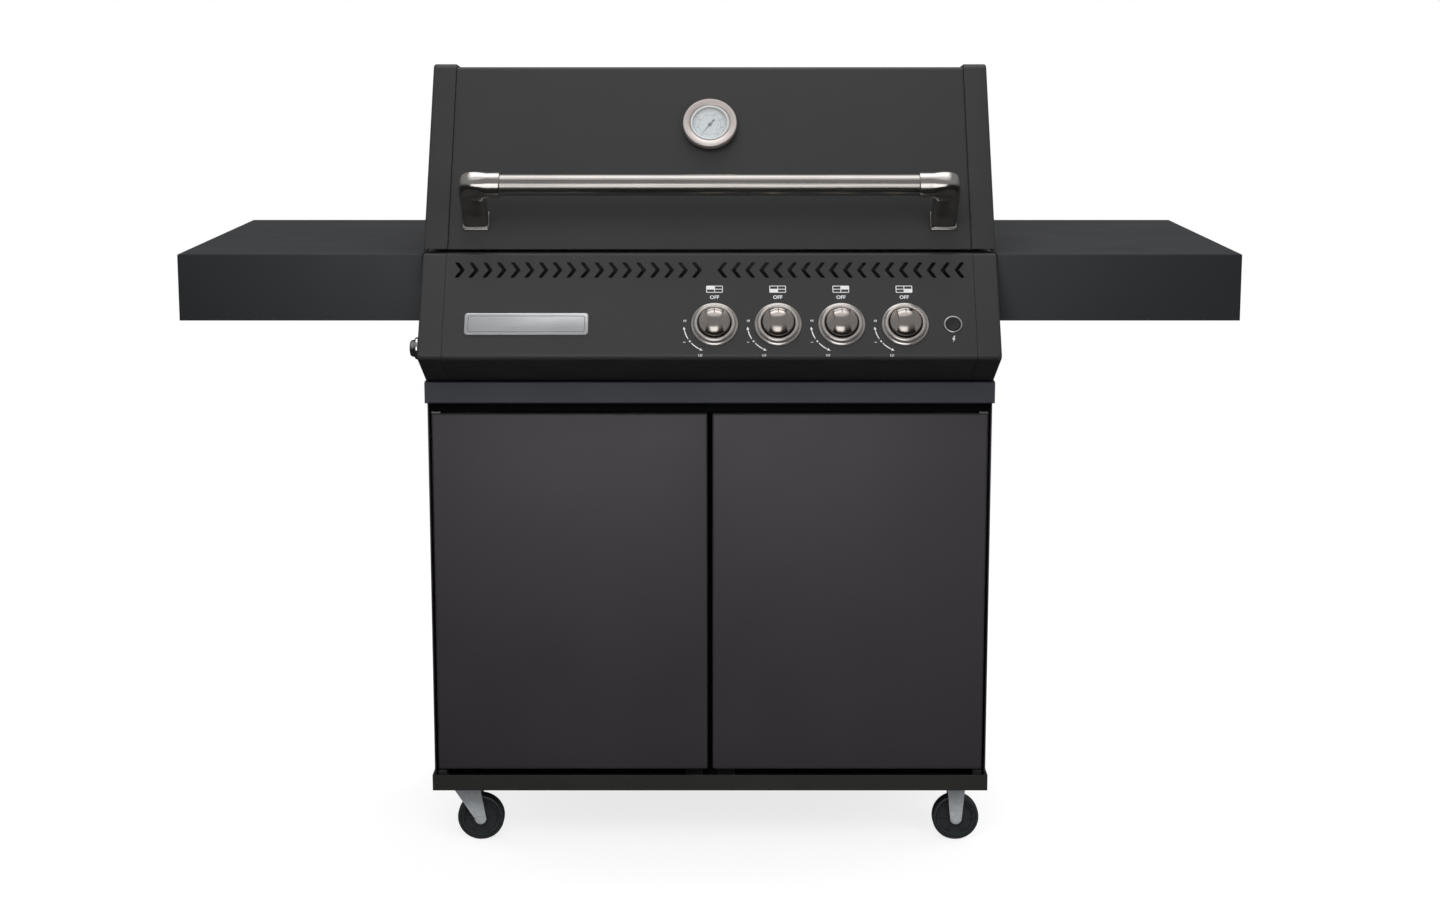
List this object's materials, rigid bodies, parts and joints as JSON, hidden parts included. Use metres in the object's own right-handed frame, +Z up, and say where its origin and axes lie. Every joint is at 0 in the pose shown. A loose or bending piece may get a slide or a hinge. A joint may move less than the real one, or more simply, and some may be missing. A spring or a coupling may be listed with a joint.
{
  "type": "gas barbecue",
  "caption": "Hooded gas barbecue on a two-door trolley cabinet with thick side shelves, front knobs, a hood thermometer and four casters.",
  "frame": {"origin": "centre of the overall footprint, on the floor", "axes": "+X to the right seen from the front, +Y to the back, +Z up"},
  "size_m": [1.416, 0.5948, 1.0764],
  "materials": {
    "black_paint": "satin powder coat",
    "zinc": "zinc plated",
    "wheel_plastic": "moulded, satin",
    "satin_steel": "brushed",
    "chrome": "polished",
    "black_plastic": "satin",
    "enamel": "vitreous enamel",
    "cast_iron": "seasoned",
    "plain_steel": "rolled",
    "ceramic": "fired ceramic",
    "brass": "turned",
    "copper": "drawn tube",
    "dial": "printed",
    "glass": "clear"
  },
  "bodies": {
    "trolley": {"base_pan": "black_paint", "cabinet_sides": "black_paint", "rear_panel": "black_paint", "top_rails": "black_paint", "door_hinge_pins": "zinc", "door_catches": "black_plastic", "caster_plates": "zinc", "fixed_caster_forks": "zinc", "left_shelf": "black_paint", "right_shelf": "black_paint", "shelf_undersides": "black_paint", "control_panel": "black_paint", "panel_end_caps": "black_paint", "badge_plate": "satin_steel", "knob_bezels": "satin_steel", "side_cap": "chrome", "igniter_ring": "chrome", "igniter_module": "black_plastic", "firebox_sides": "enamel", "firebox_ends": "enamel", "firebox_floor": "enamel", "burner_housings": "plain_steel", "burner_tiles": "ceramic", "mixer_tubes": "plain_steel", "electrodes": "ceramic", "flame_guards": "plain_steel", "cooking_grates": "cast_iron", "hotplate": "cast_iron", "warming_rack": "plain_steel", "gas_manifold": "plain_steel", "gas_valves": "brass", "supply_tubes": "copper", "tray_runners": "plain_steel"},
    "hood": {"lid_skin": "black_paint", "lid_end_caps": "black_paint", "handle_bar": "satin_steel", "handle_brackets": "satin_steel", "hood_hinge_pins": "zinc", "gauge_case": "satin_steel", "gauge_dial": "dial", "gauge_glass": "glass"},
    "gauge_needle": {"gauge_needle": "black_plastic"},
    "left_door": {"left_door": "black_paint"},
    "right_door": {"right_door": "black_paint"},
    "drip_tray": {"drip_tray": "plain_steel"},
    "igniter_button": {"igniter_button": "black_plastic"},
    "left_front_swivel": {"left_front_fork": "zinc"},
    "left_rear_swivel": {"left_rear_fork": "zinc"},
    "left_front_wheel": {"left_front_wheel": "wheel_plastic"},
    "left_rear_wheel": {"left_rear_wheel": "wheel_plastic"},
    "right_front_wheel": {"right_front_wheel": "wheel_plastic"},
    "right_rear_wheel": {"right_rear_wheel": "wheel_plastic"},
    "stem_1": {"valve_stem_1": "plain_steel"},
    "knob_1": {"knob_1": "chrome"},
    "stem_2": {"valve_stem_2": "plain_steel"},
    "knob_2": {"knob_2": "chrome"},
    "stem_3": {"valve_stem_3": "plain_steel"},
    "knob_3": {"knob_3": "chrome"},
    "stem_4": {"valve_stem_4": "plain_steel"},
    "knob_4": {"knob_4": "chrome"}
  },
  "joints": [
    {"name": "hood_hinge", "type": "hinge", "parent": "trolley", "child": "hood", "pos_m": [0, 0.27843, 0.845], "axis": [-1, 0, 0], "range_deg": [0, 85]},
    {"name": "gauge_needle_turn", "type": "hinge", "parent": "hood", "child": "gauge_needle", "pos_m": [0, -0.11427, 0.99669], "axis": [0, 0.8526, -0.5225], "range_deg": [0, 250], "stiffness_Nm_per_rad": 0.0005},
    {"name": "left_door_hinge", "type": "hinge", "parent": "trolley", "child": "left_door", "pos_m": [-0.369, -0.19257, 0.114], "axis": [0, 0, -1], "range_deg": [0, 110]},
    {"name": "right_door_hinge", "type": "hinge", "parent": "trolley", "child": "right_door", "pos_m": [0.369, -0.19257, 0.114], "axis": [0, 0, 1], "range_deg": [0, 110]},
    {"name": "drip_tray_slide", "type": "slide", "parent": "trolley", "child": "drip_tray", "axis": [0, 1, 0], "range_m": [0, 0.36]},
    {"name": "igniter_push", "type": "slide", "parent": "trolley", "child": "igniter_button", "axis": [0, 0.8348, -0.5505], "range_m": [0, 0.003], "stiffness_N_per_m": 500, "springref_m": -0.003},
    {"name": "knob_1_push", "type": "slide", "parent": "trolley", "child": "stem_1", "axis": [0, 0.8348, -0.5505], "range_m": [0, 0.003], "stiffness_N_per_m": 1500, "springref_m": -0.003},
    {"name": "knob_1_turn", "type": "hinge", "parent": "stem_1", "child": "knob_1", "pos_m": [0.0065, -0.27382, 0.74468], "axis": [0, -0.8348, 0.5505], "range_deg": [0, 145]},
    {"name": "knob_2_push", "type": "slide", "parent": "trolley", "child": "stem_2", "axis": [0, 0.8348, -0.5505], "range_m": [0, 0.003], "stiffness_N_per_m": 1500, "springref_m": -0.003},
    {"name": "knob_2_turn", "type": "hinge", "parent": "stem_2", "child": "knob_2", "pos_m": [0.0895, -0.27382, 0.74468], "axis": [0, -0.8348, 0.5505], "range_deg": [0, 145]},
    {"name": "knob_3_push", "type": "slide", "parent": "trolley", "child": "stem_3", "axis": [0, 0.8348, -0.5505], "range_m": [0, 0.003], "stiffness_N_per_m": 1500, "springref_m": -0.003},
    {"name": "knob_3_turn", "type": "hinge", "parent": "stem_3", "child": "knob_3", "pos_m": [0.1725, -0.27382, 0.74468], "axis": [0, -0.8348, 0.5505], "range_deg": [0, 145]},
    {"name": "knob_4_push", "type": "slide", "parent": "trolley", "child": "stem_4", "axis": [0, 0.8348, -0.5505], "range_m": [0, 0.003], "stiffness_N_per_m": 1500, "springref_m": -0.003},
    {"name": "knob_4_turn", "type": "hinge", "parent": "stem_4", "child": "knob_4", "pos_m": [0.2555, -0.27382, 0.74468], "axis": [0, -0.8348, 0.5505], "range_deg": [0, 145]},
    {"name": "left_front_swivel_turn", "type": "hinge", "parent": "trolley", "child": "left_front_swivel", "pos_m": [-0.3466, -0.15657, 0.08], "axis": [0, 0, 1], "continuous": true},
    {"name": "left_front_wheel_spin", "type": "hinge", "parent": "left_front_swivel", "child": "left_front_wheel", "pos_m": [-0.3216, -0.15657, 0.0325], "axis": [0, 1, 0], "continuous": true},
    {"name": "left_rear_swivel_turn", "type": "hinge", "parent": "trolley", "child": "left_rear_swivel", "pos_m": [-0.3466, 0.21343, 0.08], "axis": [0, 0, 1], "continuous": true},
    {"name": "left_rear_wheel_spin", "type": "hinge", "parent": "left_rear_swivel", "child": "left_rear_wheel", "pos_m": [-0.3216, 0.21343, 0.0325], "axis": [0, 1, 0], "continuous": true},
    {"name": "right_front_wheel_spin", "type": "hinge", "parent": "trolley", "child": "right_front_wheel", "pos_m": [0.344, -0.15657, 0.0325], "axis": [0, 1, 0], "continuous": true},
    {"name": "right_rear_wheel_spin", "type": "hinge", "parent": "trolley", "child": "right_rear_wheel", "pos_m": [0.344, 0.21343, 0.0325], "axis": [0, 1, 0], "continuous": true}
  ]
}
